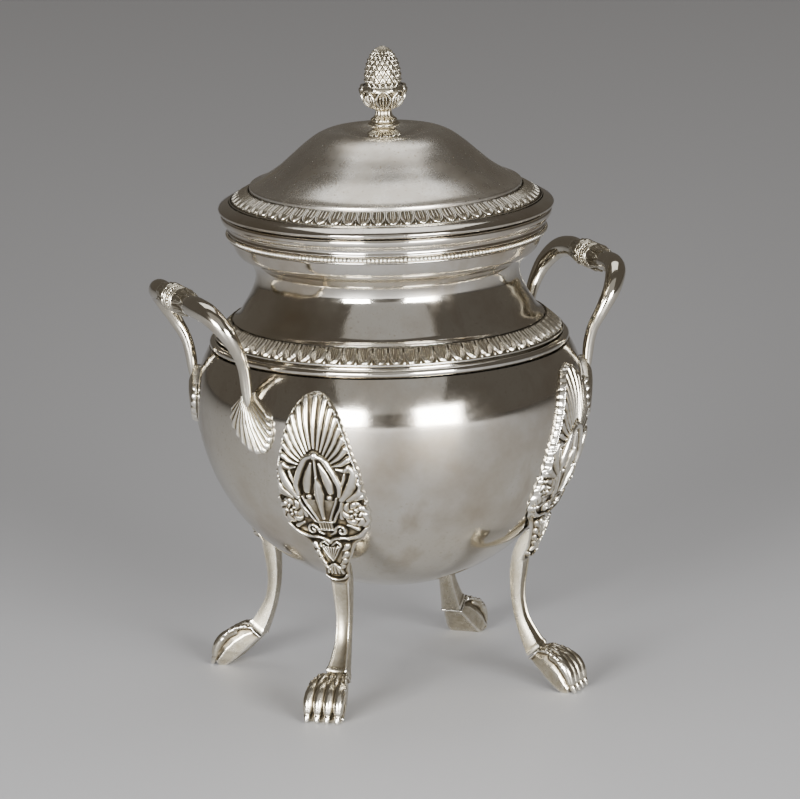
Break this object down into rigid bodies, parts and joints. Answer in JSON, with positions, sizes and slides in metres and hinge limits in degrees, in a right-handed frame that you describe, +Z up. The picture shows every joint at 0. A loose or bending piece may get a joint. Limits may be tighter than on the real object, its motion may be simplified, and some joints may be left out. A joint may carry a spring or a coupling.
{
  "type": "covered sugar bowl",
  "caption": "Covered silver sugar bowl: round bulb, flared beaded mouth, loop handles, lion-paw legs with palmette plaques, and a lift-off domed lid with a pinecone finial.",
  "frame": {"origin": "on the bowl's vertical axis, at table level under the paws", "axes": "+Z up; the two loop handles lie on +X and -X; the four legs stand at 45 degrees between the axes; -Y is the front"},
  "size_m": [0.1416, 0.1164, 0.1924],
  "materials": {
    "polished_silver": "polished silver with warm tarnish patches and fine scratches",
    "cast_silver": "cast silver, dark oxidised recesses and bright high points",
    "fastener_metal": "turned fastener metal, dull"
  },
  "bodies": {
    "bowl": {"body_bulb": "polished_silver", "neck": "polished_silver", "mouth_moulding": "polished_silver", "shoulder_wire": "polished_silver", "bead_band": "cast_silver", "shoulder_leaf_band": "cast_silver", "leg_plaque_front_left": "cast_silver", "leg_plaque_front_right": "cast_silver", "leg_plaque_rear_right": "cast_silver", "leg_plaque_rear_left": "cast_silver", "leg_shank_front_left": "cast_silver", "leg_shank_front_right": "cast_silver", "leg_shank_rear_right": "cast_silver", "leg_shank_rear_left": "cast_silver", "leg_paw_front_left": "cast_silver", "leg_paw_front_right": "cast_silver", "leg_paw_rear_right": "cast_silver", "leg_paw_rear_left": "cast_silver", "handle_arm_left_front": "cast_silver", "handle_arm_left_rear": "cast_silver", "handle_arm_right_front": "cast_silver", "handle_arm_right_rear": "cast_silver", "handle_fan_left_front": "cast_silver", "handle_fan_left_rear": "cast_silver", "handle_fan_right_front": "cast_silver", "handle_fan_right_rear": "cast_silver", "handle_grip_left": "cast_silver", "handle_grip_right": "cast_silver"},
    "lid": {"lid_dome": "polished_silver", "lid_rim_moulding": "polished_silver", "lid_bezel": "polished_silver", "lid_leaf_band": "cast_silver", "finial_rosette": "cast_silver", "finial_stem": "cast_silver", "finial_calyx": "cast_silver", "finial_pinecone": "cast_silver", "finial_stud": "fastener_metal", "finial_washer": "fastener_metal", "finial_nut": "fastener_metal"}
  },
  "joints": [
    {"name": "lid_lift", "type": "slide", "parent": "bowl", "child": "lid", "axis": [0, 0, 1], "range_m": [0, 0.15]}
  ]
}
